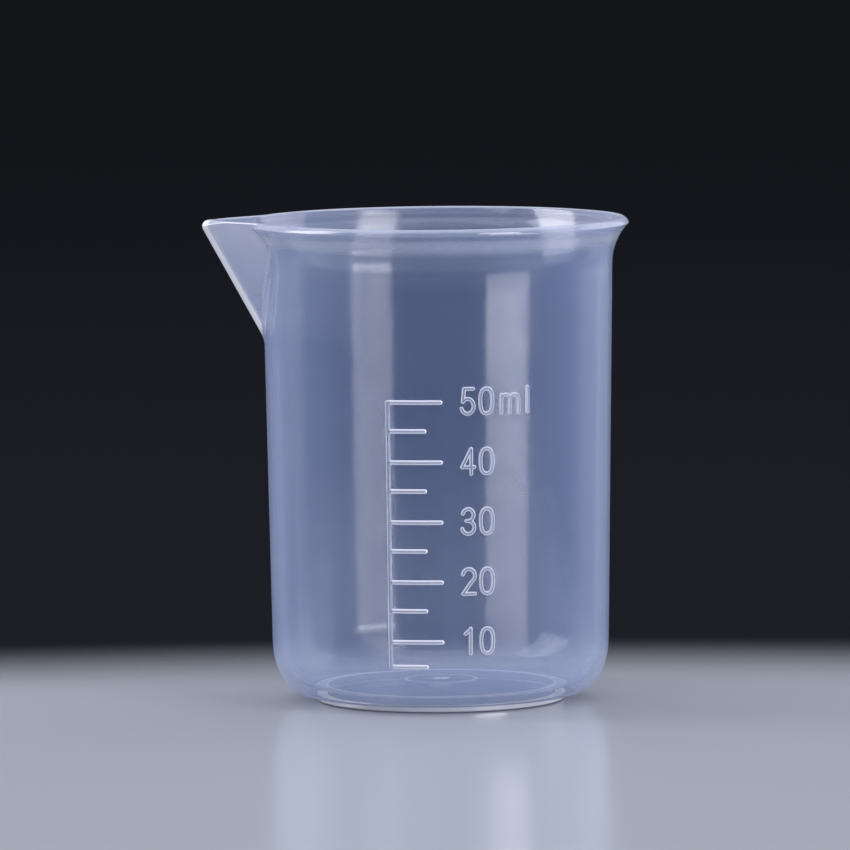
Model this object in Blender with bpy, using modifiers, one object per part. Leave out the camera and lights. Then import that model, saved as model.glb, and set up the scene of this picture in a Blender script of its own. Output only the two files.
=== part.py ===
"""Plastic measuring beaker, 50 ml, with a flared lip, a V spout and raised graduations.

The vessel is one thin-walled moulding: floor, heel, wall, flare, spout and foot ring. The
graduation scale and each figure stand on the front of the wall as solids of their own.

Frame: metres, +Z up. The beaker stands on z = 0, its spout points to -X, and its graduations
face -Y. The origin is the middle of the footprint's bounding box, so the turned axis lies at
x = AXIS_X, which is half of what the spout reaches beyond the lip.
"""

import math

import bmesh
import bpy
import numpy as np

MM = 0.001

# Body
HEIGHT = 60.8 * MM
HEEL_TOP_RADIUS = 21.23 * MM
DRAFT = math.radians(0.956)
WALL = 0.9 * MM

# Heel, a quarter ellipse between the wall and the underside
HEEL_REACH = 4.2 * MM
HEEL_RISE = 6.9 * MM
INNER_HEEL_REACH = 4.7 * MM
INNER_HEEL_RISE = 6.1 * MM

# Foot ring and floor
FOOT_RADIUS = 15.65 * MM
FOOT_WIDTH = 1.25 * MM
FOOT_HEIGHT = 0.8 * MM
FLOOR = 0.95 * MM
FLOOR_CROWN = 0.75 * MM
GATE_PAD_RADIUS = 4.65 * MM
GATE_PAD_DEPTH = 0.2 * MM
GATE_STUB_RADIUS = 1.3 * MM
GATE_STUB_HEIGHT = 0.3 * MM

# Flared lip
FLARE_RADIUS = 7.55 * MM
FLARE_ANGLE = math.radians(44.5)
INNER_FLARE_RADIUS = 9.4 * MM
LIP_LAND = 0.15 * MM
LIP_BEVEL = 0.83 * MM

# Spout
SPOUT_REACH = 5.39 * MM
SPOUT_HALF_ANGLE = math.radians(47)
KEEL_SLOPE = math.radians(28.6)
KEEL_RADIUS = 0.35 * MM
TIP_RADIUS = 0.8 * MM
SPOUT_WALL = 0.7 * MM

# Graduations, with lengths measured round the wall from the front line towards +X
SCALE_LEFT = -6.68 * MM
BAR_WIDTH = 0.56 * MM
TICK_WIDTH = 0.58 * MM
LONG_TICK = 7.12 * MM
SHORT_TICK = 5.12 * MM
SCALE_FOOT = 6.0 * MM
FIVE_ML_HEIGHT = 6.33 * MM
TEN_ML_HEIGHT = 9.42 * MM
TEN_ML_STEP = 7.47 * MM
HALF_MARK_LIFT = 0.15 * MM
LAST_MARK = 50

# Figures
FIGURE_LEFT = 2.53 * MM
FIGURE_HEIGHT = 3.6 * MM
FIGURE_WIDTH = 2.05 * MM
FIGURE_PITCH = 2.33 * MM
FIGURE_STROKE = 0.5 * MM
FIGURE_LIFT = 0.1 * MM
UNIT_GAP = 0.65 * MM
UNIT_HEIGHT = 2.75 * MM
UNIT_WIDTH = 2.8 * MM
UNIT_SPACE = 0.75 * MM

# Relief of the graduations and figures, and the seam between them and the wall
RELIEF = 0.3 * MM
SEAM = 0.05 * MM

# Fineness of the faceted solids
ROUND_STEPS = 64
ARC_STEPS = 6
TIP_STEPS = 3
OVAL_STEPS = 16
BOWL_STEPS = 9
BEND_STEP = 1.1 * MM

# Cutters run past what they cut by this much
OVERCUT = 2 * MM
# How far the spout's blocks reach back inside the cavity
SPOUT_ROOT = 6 * MM
MERGE = 0.001 * MM

PLASTIC_COLOUR = (0.56, 0.62, 0.80, 1.0)
RELIEF_COLOUR = (0.72, 0.76, 0.90, 1.0)

# The wall's straight stretch runs from the top of the heel to the foot of the flare. The flare's
# arc starts square to a vertical wall, and the draft is small enough to take no notice of.
HEEL_TOP = FOOT_HEIGHT + HEEL_RISE
LIP_CORNER_HEIGHT = HEIGHT - LIP_BEVEL
FLARE_FOOT = LIP_CORNER_HEIGHT - FLARE_RADIUS * math.sin(FLARE_ANGLE)


def wall_radius(height):
    """Outer radius of the drafted wall, which widens from the top of the heel upwards."""
    return HEEL_TOP_RADIUS + (height - HEEL_TOP) * math.tan(DRAFT)


def outer_radius(height):
    """Outer radius at a height up to the flare: the heel's ellipse, then the drafted wall."""
    if height >= HEEL_TOP:
        return wall_radius(height)
    drop = min((HEEL_TOP - height) / HEEL_RISE, 1)
    return HEEL_TOP_RADIUS - HEEL_REACH * (1 - math.sqrt(1 - drop**2))


LIP_RADIUS = wall_radius(FLARE_FOOT) + FLARE_RADIUS * (1 - math.cos(FLARE_ANGLE))
TIP_REACH = LIP_RADIUS + SPOUT_REACH
AXIS_X = SPOUT_REACH / 2
FRONT_RADIUS = wall_radius(HEIGHT / 2)


def clear_scene():
    for obj in list(bpy.data.objects):
        bpy.data.objects.remove(obj, do_unlink=True)


def new_collection(name):
    collection = bpy.data.collections.new(name)
    bpy.context.scene.collection.children.link(collection)
    return collection


def plastic(name, colour, roughness):
    material = bpy.data.materials.new(name)
    material.use_nodes = True
    shader = material.node_tree.nodes["Principled BSDF"]
    shader.inputs["Base Color"].default_value = colour
    shader.inputs["Roughness"].default_value = roughness
    shader.inputs["Metallic"].default_value = 0.0
    material.diffuse_color = colour
    return material


def place(name, mesh, collection):
    obj = bpy.data.objects.new(name, mesh)
    collection.objects.link(obj)
    return obj


def finished_mesh(obj, name):
    """The object's mesh with its modifiers applied, shaded smooth with its real edges sharp."""
    depsgraph = bpy.context.evaluated_depsgraph_get()
    mesh = bpy.data.meshes.new_from_object(obj.evaluated_get(depsgraph))
    mesh.name = name
    mesh.shade_smooth()
    mesh.set_sharp_from_angle(angle=math.radians(30))
    return mesh


def make_cutter(obj):
    obj.hide_render = True
    obj.display_type = "WIRE"


def add_boolean(obj, operation, other):
    modifier = obj.modifiers.new(other.name, "BOOLEAN")
    modifier.operation = operation
    modifier.solver = "EXACT"
    modifier.object = other


def arc(centre, radii, start, end, steps):
    """Points on an ellipse about centre from angle start to angle end, both ends included."""
    angles = np.linspace(start, end, steps + 1)
    return [(centre[0] + radii[0] * math.cos(a), centre[1] + radii[1] * math.sin(a)) for a in angles]


def flare_arc(wall, radius, top):
    """The flare's section from a height down to its foot on a wall, about a centre outside it."""
    centre = (wall + radius, FLARE_FOOT)
    lean = math.asin((top - FLARE_FOOT) / radius)
    return arc(centre, (radius, radius), math.pi - lean, math.pi, ARC_STEPS)


def mouth_arc():
    """The flare's inner section, from the mouth's edge at the full height down to the inner wall."""
    return flare_arc(wall_radius(FLARE_FOOT) - WALL, INNER_FLARE_RADIUS, HEIGHT)


def crown(radius, edge_radius, edge_height):
    """Height of the shallow dome of the floor, which rises from its edge to the axis."""
    return edge_height + FLOOR_CROWN * (1 - (radius / edge_radius) ** 2)


def outer_profile():
    """Outside section from the axis at the top, down the wall, to the axis under the floor."""
    foot_inner = FOOT_RADIUS - FOOT_WIDTH
    top_land = mouth_arc()[0][0] + LIP_LAND
    heel = arc((HEEL_TOP_RADIUS - HEEL_REACH, HEEL_TOP), (HEEL_REACH, HEEL_RISE), 0, -math.pi / 2, ARC_STEPS)
    under = np.linspace(foot_inner, GATE_PAD_RADIUS, ARC_STEPS)
    pad = crown(GATE_PAD_RADIUS, foot_inner, FOOT_HEIGHT) + GATE_PAD_DEPTH
    points = [(0, HEIGHT), (top_land, HEIGHT)]
    points += flare_arc(wall_radius(FLARE_FOOT), FLARE_RADIUS, LIP_CORNER_HEIGHT)
    points += heel
    points += [(FOOT_RADIUS, FOOT_HEIGHT), (FOOT_RADIUS, 0), (foot_inner, 0)]
    points += [(radius, crown(radius, foot_inner, FOOT_HEIGHT)) for radius in under]
    points += [(GATE_PAD_RADIUS, pad), (GATE_STUB_RADIUS, pad)]
    points += [(GATE_STUB_RADIUS, pad - GATE_STUB_HEIGHT), (0, pad - GATE_STUB_HEIGHT)]
    return points


def cavity_profile():
    """Inside section from the axis above the lip, down the inner wall, to the axis on the floor."""
    mouth = mouth_arc()
    heel_top_radius = HEEL_TOP_RADIUS - WALL
    floor_edge = heel_top_radius - INNER_HEEL_REACH
    floor_height = FOOT_HEIGHT + FLOOR
    centre = (floor_edge, floor_height + INNER_HEEL_RISE)
    points = [(0, HEIGHT + OVERCUT), (mouth[0][0], HEIGHT + OVERCUT)]
    points += mouth
    points += arc(centre, (INNER_HEEL_REACH, INNER_HEEL_RISE), 0, -math.pi / 2, ARC_STEPS)
    floor = np.linspace(floor_edge, 0, ARC_STEPS)[1:]
    points += [(radius, crown(radius, floor_edge, floor_height)) for radius in floor]
    return points


def turned(name, points, collection):
    """A solid of revolution about the beaker's axis, from a section that ends on the axis."""
    mesh = bpy.data.meshes.new(name)
    vertices = [(radius, 0, height) for radius, height in points]
    mesh.from_pydata(vertices, [(i, i + 1) for i in range(len(points) - 1)], [])
    obj = place(name, mesh, collection)
    obj.location.x = AXIS_X
    screw = obj.modifiers.new("turn", "SCREW")
    screw.steps = ROUND_STEPS
    screw.render_steps = ROUND_STEPS
    screw.use_merge_vertices = True
    screw.merge_threshold = MERGE
    return obj


def keel_reach(height):
    """Distance of the keel's straight slope from the axis. The slope is a tangent to the tip's round."""
    below = HEIGHT - TIP_RADIUS - height
    return TIP_REACH - TIP_RADIUS + TIP_RADIUS / math.cos(KEEL_SLOPE) - below * math.tan(KEEL_SLOPE)


def keel_height(reach):
    """Height at which the keel's straight slope has a reach."""
    return HEIGHT - (keel_reach(HEIGHT) - reach) / math.tan(KEEL_SLOPE)


def outer_keel():
    """Reaches and heights of the keel outside, from within the cavity up and round the tip."""
    root = FRONT_RADIUS - SPOUT_ROOT / 2
    centre = (TIP_REACH - TIP_RADIUS, HEIGHT - TIP_RADIUS)
    tip = arc(centre, (TIP_RADIUS, TIP_RADIUS), -KEEL_SLOPE, math.pi / 2, TIP_STEPS)
    return [(root, keel_height(root))] + tip


def inner_keel():
    """Reaches and heights of the keel inside, parallel to the outside and on past the lip."""
    inset = SPOUT_WALL / math.sin(SPOUT_HALF_ANGLE)
    root = FRONT_RADIUS - SPOUT_ROOT / 2
    top = HEIGHT + OVERCUT
    return [(root, keel_height(root + inset)), (keel_reach(top) - inset, top)]


def spout_section(reach):
    """Plan of the spout's V out to a reach: two straight flanks and a small round at the keel."""
    turn = math.pi / 2 - SPOUT_HALF_ANGLE
    centre = (KEEL_RADIUS - reach, 0)
    nose = arc(centre, (KEEL_RADIUS, KEEL_RADIUS), math.pi - turn, math.pi + turn, ARC_STEPS)
    back = SPOUT_ROOT - FRONT_RADIUS
    half_width = nose[0][1] + (back - nose[0][0]) * math.tan(SPOUT_HALF_ANGLE)
    return [(back, half_width)] + nose + [(back, -half_width)]


def spout_block(name, keel, collection):
    """The spout's V as a closed loft of plan sections, one for each reach and height of the keel."""
    sections = [[(x, y, height) for x, y in spout_section(reach)] for reach, height in keel]
    count = len(sections[0])
    mesh = bpy.data.meshes.new(name)
    shape = bmesh.new()
    rings = [[shape.verts.new(point) for point in section] for section in sections]
    for lower, upper in zip(rings, rings[1:]):
        for i in range(count):
            j = (i + 1) % count
            shape.faces.new((lower[i], lower[j], upper[j], upper[i]))
    shape.faces.new(rings[0])
    shape.faces.new(rings[-1])
    bmesh.ops.recalc_face_normals(shape, faces=shape.faces)
    shape.to_mesh(mesh)
    shape.free()
    obj = place(name, mesh, collection)
    obj.location.x = AXIS_X
    return obj


def make_vessel(parts, cutters):
    """The vessel: turned outside and spout joined, then the cavity and the spout's hollow cut out."""
    outside = turned("outside", outer_profile(), cutters)
    cavity = turned("cavity", cavity_profile(), cutters)
    spout = spout_block("spout", outer_keel(), cutters)
    hollow = spout_block("spout_hollow", inner_keel(), cutters)
    add_boolean(outside, "UNION", spout)
    add_boolean(outside, "DIFFERENCE", cavity)
    add_boolean(outside, "DIFFERENCE", hollow)
    vessel = place("vessel", finished_mesh(outside, "vessel"), parts)
    vessel.location.x = AXIS_X
    for obj in (outside, cavity, spout, hollow):
        make_cutter(obj)
    vessel.data.materials.append(plastic("vessel_plastic", PLASTIC_COLOUR, 0.22))
    return vessel


def wrap_on_wall(mesh, collection, name):
    """Bends a flat relief round the wall. Its x runs round the wall, y up it and z out of it."""
    shape = bmesh.new()
    shape.from_mesh(mesh)
    spread = [vertex.co.x for vertex in shape.verts]
    rise = [vertex.co.y for vertex in shape.verts]
    cuts = [((x, 0, 0), (1, 0, 0)) for x in np.arange(min(spread) + BEND_STEP, max(spread), BEND_STEP)]
    if min(rise) < HEEL_TOP < max(rise):
        cuts.append(((0, HEEL_TOP, 0), (0, 1, 0)))
    for point, normal in cuts:
        everything = shape.verts[:] + shape.edges[:] + shape.faces[:]
        bmesh.ops.bisect_plane(shape, geom=everything, dist=MERGE, plane_co=point, plane_no=normal)
    for vertex in shape.verts:
        around, height, out = vertex.co
        radius = outer_radius(height) + SEAM + out
        angle = around / FRONT_RADIUS
        vertex.co = (AXIS_X + radius * math.sin(angle), -radius * math.cos(angle), height)
    if shape.calc_volume(signed=True) < 0:
        bmesh.ops.reverse_faces(shape, faces=shape.faces)
    wrapped = bpy.data.meshes.new(name)
    shape.to_mesh(wrapped)
    shape.free()
    obj = place(name, wrapped, collection)
    wrapped.materials.append(plastic(name + "_plastic", RELIEF_COLOUR, 0.3))
    return obj


def ribbon(name, path, width, closed, cutters):
    """A stroke of even width along a flat path, as an upright strip thickened to both sides."""
    count = len(path)
    vertices = [(x, y, z) for z in (0, RELIEF) for x, y in path]
    ends = range(count if closed else count - 1)
    faces = [(i, (i + 1) % count, count + (i + 1) % count, count + i) for i in ends]
    mesh = bpy.data.meshes.new(name)
    mesh.from_pydata(vertices, [], faces)
    obj = place(name, mesh, cutters)
    solidify = obj.modifiers.new("width", "SOLIDIFY")
    solidify.thickness = width
    solidify.offset = 0
    solidify.use_even_offset = True
    make_cutter(obj)
    return obj


def relief(name, strokes, parts, cutters):
    """One raised mark made of strokes joined flat, then bent round the wall."""
    pieces = [
        ribbon(f"{name}_stroke_{number}", path, width, closed, cutters)
        for number, (path, width, closed) in enumerate(strokes)
    ]
    for other in pieces[1:]:
        add_boolean(pieces[0], "UNION", other)
    flat = finished_mesh(pieces[0], name + "_flat")
    wrap_on_wall(flat, parts, name)
    bpy.data.meshes.remove(flat)
    for piece in pieces:
        bpy.data.objects.remove(piece, do_unlink=True)


def mark_height(volume):
    """Height of a mark's middle. Every tenth is evenly stepped, and the fives sit just over half way."""
    if volume == 5:
        return FIVE_ML_HEIGHT
    height = TEN_ML_HEIGHT + (volume - 10) / 10 * TEN_ML_STEP
    return height if volume % 10 == 0 else height + HALF_MARK_LIFT


def make_scale(parts, cutters):
    """The upright bar with its ten ticks, one comb-shaped relief."""
    bar_middle = SCALE_LEFT + BAR_WIDTH / 2
    bar_top = mark_height(LAST_MARK) + TICK_WIDTH / 2
    strokes = [([(bar_middle, SCALE_FOOT), (bar_middle, bar_top)], BAR_WIDTH, False)]
    for volume in range(5, LAST_MARK + 1, 5):
        length = LONG_TICK if volume % 10 == 0 else SHORT_TICK
        height = mark_height(volume)
        strokes.append(([(bar_middle, height), (SCALE_LEFT + length, height)], TICK_WIDTH, False))
    relief("graduation_scale", strokes, parts, cutters)


# Each figure is drawn in a box of a width and a height as strokes, which are paths and whether
# they close. The factors in it are fractions of that box.


def zero(width, height):
    """An upright oval: a superellipse, whose flanks are straighter than an ellipse's."""
    ring = []
    for a in np.linspace(0, 2 * math.pi, OVAL_STEPS, endpoint=False):
        across = math.copysign(abs(math.cos(a)) ** 0.8, math.cos(a))
        up = math.copysign(abs(math.sin(a)) ** 0.8, math.sin(a))
        ring.append((width / 2 * (1 + across), height / 2 * (1 + up)))
    return [(ring, True)]


def one(width, height):
    stem = width * 0.62
    flag = [(width * 0.2, height * 0.8), (stem, height * 0.93)]
    return [([(stem, 0), (stem, height)], False), (flag, False)]


def two(width, height):
    centre = (width / 2, height * 0.72)
    bowl = arc(centre, (width / 2, height * 0.28), math.pi * 0.93, -math.pi * 0.12, BOWL_STEPS)
    slant = [(width * 0.6, height * 0.4), (width * 0.04, height * 0.03)]
    return [(bowl + slant, False), ([(-width * 0.02, 0), (width, 0)], False)]


def three(width, height):
    """Two bowls that overlap at the waist, where the upper one runs on a little to the left."""
    turn = math.pi * 0.93
    upper = arc((width * 0.47, height * 0.76), (width * 0.44, height * 0.24), turn, -math.pi / 2, BOWL_STEPS)
    waist = (width * 0.33, height * 0.52)
    lower = arc((width * 0.47, height * 0.26), (width * 0.5, height * 0.26), math.pi * 0.42, -turn, BOWL_STEPS)
    return [(upper + [waist], False), (lower, False)]


def four(width, height):
    stem = width * 0.74
    bar = height * 0.27
    return [([(stem, height), (0, bar), (width, bar)], False), ([(stem, 0), (stem, height)], False)]


def five(width, height):
    centre = (width * 0.47, height * 0.3)
    bowl = arc(centre, (width * 0.5, height * 0.3), math.pi * 0.72, -math.pi * 0.9, BOWL_STEPS)
    flag = [(width * 0.92, height), (width * 0.2, height), (width * 0.1, height * 0.48)]
    return [(flag + bowl[1:], False)]


def letter_m(width, height):
    """A stem and two arches of equal span."""
    span = width / 2
    radius = span / 2
    strokes = [([(0, 0), (0, height)], False)]
    for left in (0, span):
        arch = arc((left + radius, height - radius), (radius, radius), math.pi, 0, ARC_STEPS)
        strokes.append((arch + [(left + span, 0)], False))
    return strokes


def letter_l(_, height):
    return [([(0, 0), (0, height)], False)]


DIGITS = {"0": zero, "1": one, "2": two, "3": three, "4": four, "5": five}


def make_figure(name, draw, corner, size, parts, cutters):
    """A raised figure with its lower left corner and its size given, strokes included."""
    inner = FIGURE_STROKE / 2
    strokes = []
    for path, closed in draw(size[0] - FIGURE_STROKE, size[1] - FIGURE_STROKE):
        path = [(x + corner[0] + inner, y + corner[1] + inner) for x, y in path]
        strokes.append((path, FIGURE_STROKE, closed))
    relief(name, strokes, parts, cutters)


def make_figures(parts, cutters):
    """The figures beside the long ticks, and the unit after the last one."""
    size = (FIGURE_WIDTH, FIGURE_HEIGHT)
    for volume in range(10, LAST_MARK + 1, 10):
        bottom = mark_height(volume) + FIGURE_LIFT - FIGURE_HEIGHT / 2
        for number, digit in enumerate(str(volume)):
            corner = (FIGURE_LEFT + number * FIGURE_PITCH, bottom)
            make_figure(f"digit_{digit}_of_{volume}", DIGITS[digit], corner, size, parts, cutters)
    unit_left = FIGURE_LEFT + FIGURE_PITCH + FIGURE_WIDTH + UNIT_GAP
    unit_bottom = mark_height(LAST_MARK) + FIGURE_LIFT - FIGURE_HEIGHT / 2
    unit_size = (UNIT_WIDTH, UNIT_HEIGHT)
    make_figure("letter_m", letter_m, (unit_left, unit_bottom), unit_size, parts, cutters)
    last_left = unit_left + UNIT_WIDTH + UNIT_SPACE
    last_size = (FIGURE_STROKE, FIGURE_HEIGHT)
    make_figure("letter_l", letter_l, (last_left, unit_bottom), last_size, parts, cutters)


def main():
    clear_scene()
    parts = new_collection("plastic_beaker")
    cutters = new_collection("cutters")
    make_vessel(parts, cutters)
    make_scale(parts, cutters)
    make_figures(parts, cutters)
    cutters.hide_render = True


main()
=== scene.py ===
# %% [markdown]
# # A small plastic measuring beaker
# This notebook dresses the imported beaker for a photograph. The real one is a single moulding of clear
# polypropylene, a plastic that lets light through and scatters a little of it on the way. So the work
# is in two things: surfaces smooth enough for long soft highlights, and a plastic that glows where it
# is thick. All lengths are in millimetres here and become metres when a mesh is made.

import math

import bmesh
import bpy
import numpy as np
from mathutils import Matrix, Vector


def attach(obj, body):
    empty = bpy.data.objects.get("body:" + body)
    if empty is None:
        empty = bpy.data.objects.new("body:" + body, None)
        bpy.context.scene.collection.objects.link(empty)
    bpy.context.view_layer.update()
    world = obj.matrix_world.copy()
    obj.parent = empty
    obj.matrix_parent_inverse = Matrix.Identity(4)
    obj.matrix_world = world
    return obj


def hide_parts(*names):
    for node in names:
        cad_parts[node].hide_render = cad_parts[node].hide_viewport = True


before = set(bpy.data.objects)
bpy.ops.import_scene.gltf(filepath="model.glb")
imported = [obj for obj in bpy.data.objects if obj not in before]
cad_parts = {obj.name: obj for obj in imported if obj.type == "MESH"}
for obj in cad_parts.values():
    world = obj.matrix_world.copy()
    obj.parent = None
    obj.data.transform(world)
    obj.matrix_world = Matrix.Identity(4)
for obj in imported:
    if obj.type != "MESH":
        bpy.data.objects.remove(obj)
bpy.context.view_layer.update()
print("packed nodes:", len(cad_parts))

# %% [markdown]
# ## Sizes
# The real beaker's outline is a handful of lengths and angles: a drafted wall, a round heel, a flare
# that ends in a bevelled lip, and a V spout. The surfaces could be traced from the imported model's
# facets, but then its corners would show. So they are worked out from the sizes that the model was
# drawn from. The lip's bevel is a little narrower here, the flare is hollower inside and the spout ends
# a hair earlier, all within the model's box. The turned axis doesn't stand over the origin, because the
# spout makes the footprint longer on one side.

# %% Sizes in millimetres
MM = 0.001
AXIS_X = 2.695
HEIGHT = 60.8
HEEL_TOP_RADIUS = 21.23
DRAFT = math.radians(0.956)
WALL = 0.9
HEEL_REACH, HEEL_RISE = 4.2, 6.9
INNER_HEEL_REACH, INNER_HEEL_RISE = 4.7, 6.1
FOOT_RADIUS, FOOT_WIDTH, FOOT_HEIGHT = 15.65, 1.25, 0.8
FLOOR, FLOOR_CROWN = 0.95, 0.75
PAD_RADIUS, PAD_DEPTH = 4.65, 0.2
STUB_RADIUS, STUB_HEIGHT = 1.3, 0.3
FLARE_RADIUS, FLARE_ANGLE = 7.55, math.radians(44.5)
INNER_FLARE_RADIUS, INNER_FLARE_FOOT = 16.9, 52.2
LIP_LAND, LIP_BEVEL, LIP_BOW = 0.15, 0.7, 0.06
SPOUT_REACH, TIP_RADIUS = 5.38, 0.8
SPOUT_HALF_ANGLE = math.radians(47)
KEEL_SLOPE, KEEL_RADIUS = math.radians(28.6), 0.35
SPOUT_WALL = 0.7
SPOUT_FOOT, SPOUT_HOLLOW = 42.5, 0.4
SPOUT_SIDE_ANGLE = 1.1
TIP_EDGE_RADIUS, TIP_WALL = 0.18, 0.25

INNER_FOOT = FOOT_RADIUS - FOOT_WIDTH
RING_TOP = FOOT_HEIGHT + FLOOR
HEEL_TOP = FOOT_HEIGHT + HEEL_RISE
LIP_CORNER = HEIGHT - LIP_BEVEL
FLARE_FOOT = LIP_CORNER - FLARE_RADIUS * math.sin(FLARE_ANGLE)


def wall_radius(z):
    """Radius of the drafted wall outside: it grows evenly with the height above the heel."""
    return HEEL_TOP_RADIUS + (z - HEEL_TOP) * math.tan(DRAFT)


LIP_RADIUS = wall_radius(FLARE_FOOT) + FLARE_RADIUS * (1 - math.cos(FLARE_ANGLE))
TIP_REACH = LIP_RADIUS + SPOUT_REACH
print(f"lip radius {LIP_RADIUS:.2f} mm, spout tip {TIP_REACH:.2f} mm from the axis")

# %% [markdown]
# ## Camera
# The photograph was taken from about a metre away with a long lens, looking down by five degrees and
# rolled by half a degree. A camera could be placed by eye, but then no shape can be compared. This one
# was fitted to the outline, the lip's ellipse, the foot ring and the graduations. The fit was made with
# a height of 60 mm and is scaled to the final height.

# %% Camera
FIT_SCALE = 1.013333
TARGET = Vector((-1.7212, 0.0, 34.1721)) * FIT_SCALE
TARGET.x += AXIS_X
DISTANCE = 1075.284 * FIT_SCALE
LENS = 365.892
TILT = 0.0878
ROLL = -0.0091

ahead = Vector((0, math.cos(TILT), -math.sin(TILT)))
up = Vector((0, math.sin(TILT), math.cos(TILT)))
side = Vector((1, 0, 0))
rolled_side = side * math.cos(ROLL) + up * math.sin(ROLL)
rolled_up = up * math.cos(ROLL) - side * math.sin(ROLL)
camera_data = bpy.data.cameras.new("camera")
camera_data.sensor_width = 36
camera_data.lens = LENS
camera_data.clip_start = 0.01
camera_data.clip_end = 20
camera = bpy.data.objects.new("camera", camera_data)
turn = Matrix((rolled_side, rolled_up, -ahead)).transposed().to_4x4()
camera.matrix_world = Matrix.Translation((TARGET - ahead * DISTANCE) * MM) @ turn
bpy.context.scene.collection.objects.link(camera)
bpy.context.scene.camera = camera
print("camera stands", round((TARGET - ahead * DISTANCE).length), "mm away")

# %% [markdown]
# ## A helper for surfaces on a grid
# Thin moulded walls have no flat spots, so their surfaces need many small, even faces. They could be
# made with a Screw modifier, but that can't turn into a V at the spout. So every new surface here is a
# grid of points: one parameter runs round, the other runs along, and each point is joined to its
# neighbours. A number can be kept on every point, which the plastic's material reads later.


# %% Grid to mesh
def grid_faces(rows, columns):
    """Quads of a grid whose columns close into a ring: each joins a point to its right and lower ones."""
    row = np.arange(rows - 1)[:, None] * columns
    column = np.arange(columns)[None, :]
    beside = (column + 1) % columns
    corners = [row + column, row + columns + column, row + columns + beside, row + beside]
    return np.stack([np.broadcast_to(c, (rows - 1, columns)) for c in corners], axis=-1).reshape(-1, 4)


def make_mesh(name, points, faces, values=None):
    """A smooth mesh from points in millimetres, with named values kept on its points."""
    mesh = bpy.data.meshes.new(name)
    mesh.from_pydata((points * MM).tolist(), [], faces)
    for key, numbers in (values or {}).items():
        layer = mesh.attributes.new(key, "FLOAT", "POINT")
        layer.data.foreach_set("value", np.ascontiguousarray(numbers, dtype=np.float32))
    mesh.shade_smooth()
    mesh.update()
    obj = bpy.data.objects.new(name, mesh)
    bpy.context.scene.collection.objects.link(obj)
    return obj


# %% [markdown]
# ## The turned section
# The wall, flare, heel and foot ring are turned, so one outline describes them. It runs from the
# middle of the floor inside, up the wall, over the lip and down to the middle of the underside. A Bevel
# modifier could round its corners, but it has one width for all. Here each corner has a short curve of
# its own, because a round corner is what catches the light. The heel's and the flare's arcs start where
# they lean like the drafted wall, or a highlight would break there.


# %% Arcs, lines and bends
def arc(centre, radii, start, end, steps):
    """Points on an ellipse from one angle to another: the centre plus the radii times the angle's cosine
    and sine."""
    angle = np.linspace(start, end, steps + 1)
    return np.stack([centre[0] + radii[0] * np.cos(angle), centre[1] + radii[1] * np.sin(angle)], axis=1)


def line(start, end, steps):
    """Evenly spaced points from start to end: each is a weighted mean of the two."""
    share = np.linspace(0, 1, steps + 1)[:, None]
    return np.array(start) * (1 - share) + np.array(end) * share


def bend(before, corner, after, reach, steps=4):
    """A corner rounded by a curve whose weights are those of a parabola between two tangents."""
    before, corner, after = (np.array(p, dtype=float) for p in (before, corner, after))
    start = corner + (before - corner) * reach / np.linalg.norm(before - corner)
    end = corner + (after - corner) * reach / np.linalg.norm(after - corner)
    t = np.linspace(0, 1, steps + 1)[:, None]
    return start * (1 - t) ** 2 + corner * 2 * t * (1 - t) + end * t**2


def bow(start, end, height, steps=8):
    """Points between two ends on a line that a parabola bows outwards, most in its middle."""
    points = line(start, end, steps)
    share = np.linspace(0, 1, steps + 1)[:, None]
    step = np.array(end) - np.array(start)
    outwards = np.array([-step[1], step[0]]) / np.linalg.norm(step)
    return (points + outwards * height * 4 * share * (1 - share))[1:-1]


def crown(radius, edge_radius, edge_height):
    """Height of the floor's shallow dome: it falls with the square of the radius."""
    return edge_height + FLOOR_CROWN * (1 - (radius / edge_radius) ** 2)


# %% Outline inside
def inner_section():
    """From the middle of the floor to the mouth's edge: dome, quarter ellipse, drafted line and arc. The
    floor's points lie close together over the gate pad and the foot ring, where the plastic is thick."""
    edge = HEEL_TOP_RADIUS - WALL - INNER_HEEL_REACH
    near_gate = np.array([0, 0.5, 0.85, 1.0, 1.15, 1.6, 2.6, 3.6, 4.1, 4.3, 4.45, 4.6, 4.8, 5.1])
    near_ring = INNER_FOOT + np.array([-0.6, -0.3, -0.15, 0.0, 0.12, 0.3, 0.6, 0.9, 1.05, 1.17])
    radius = np.concatenate([near_gate, np.linspace(6, INNER_FOOT - 1, 8), near_ring, [edge]])
    floor = np.stack([radius, crown(radius, edge, RING_TOP)], axis=1)
    centre = (edge, RING_TOP + INNER_HEEL_RISE)
    heel_lean = -math.atan(math.tan(DRAFT) * INNER_HEEL_RISE / INNER_HEEL_REACH)
    heel = arc(centre, (INNER_HEEL_REACH, INNER_HEEL_RISE), -math.pi / 2, heel_lean, 18)[1:]
    foot = wall_radius(INNER_FLARE_FOOT) - WALL
    spout_foot = (wall_radius(SPOUT_FOOT) - WALL, SPOUT_FOOT)
    lean = math.asin((HEIGHT - INNER_FLARE_FOOT) / INNER_FLARE_RADIUS)
    centre = (foot + INNER_FLARE_RADIUS, INNER_FLARE_FOOT)
    flare = arc(centre, (INNER_FLARE_RADIUS, INNER_FLARE_RADIUS), math.pi - DRAFT, math.pi - lean, 26)
    wall = np.concatenate([line(heel[-1], spout_foot, 6)[1:], line(spout_foot, flare[0], 16)[1:]])
    return np.concatenate([floor, heel, wall, flare[1:]])


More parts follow.
